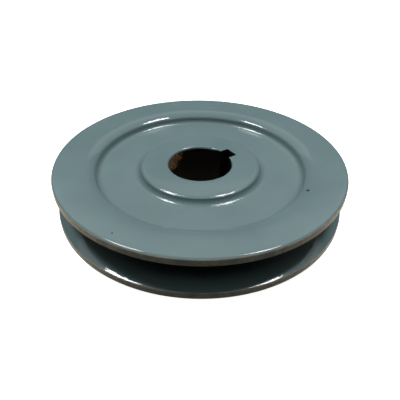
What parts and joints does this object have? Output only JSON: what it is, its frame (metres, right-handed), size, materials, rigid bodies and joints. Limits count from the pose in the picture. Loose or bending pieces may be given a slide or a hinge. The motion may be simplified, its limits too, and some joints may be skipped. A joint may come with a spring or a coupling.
{
  "type": "v belt pulley",
  "caption": "Single-groove V-belt pulley in painted cast iron, with a dished web, a short boss on one side, a longer hub on the other, a keyed bore and socket set screws.",
  "frame": {"origin": "on the bore's axis, in the middle plane of the belt groove", "axes": "+Z along the bore's axis, out of the side with the short boss; +X out through the middle of the keyway; +Y a quarter turn on, through the second set screw"},
  "size_m": [0.1206, 0.1206, 0.0317],
  "materials": {
    "enamel": "grey-blue gloss enamel over cast iron, bare machined iron inside the bore and keyway",
    "black_oxide_steel": "alloy steel with an oiled black oxide finish"
  },
  "bodies": {
    "sheave": {"sheave_casting": "enamel"},
    "keyway_screw": {"keyway_set_screw": "black_oxide_steel"},
    "quarter_screw": {"quarter_set_screw": "black_oxide_steel"}
  },
  "joints": [
    {"name": "keyway_screw_travel", "type": "slide", "parent": "sheave", "child": "keyway_screw", "axis": [1, 0, 0], "range_m": [-0.001, 0.0053]},
    {"name": "quarter_screw_travel", "type": "slide", "parent": "sheave", "child": "quarter_screw", "axis": [0, 1, 0], "range_m": [-0.001, 0.0081]}
  ]
}
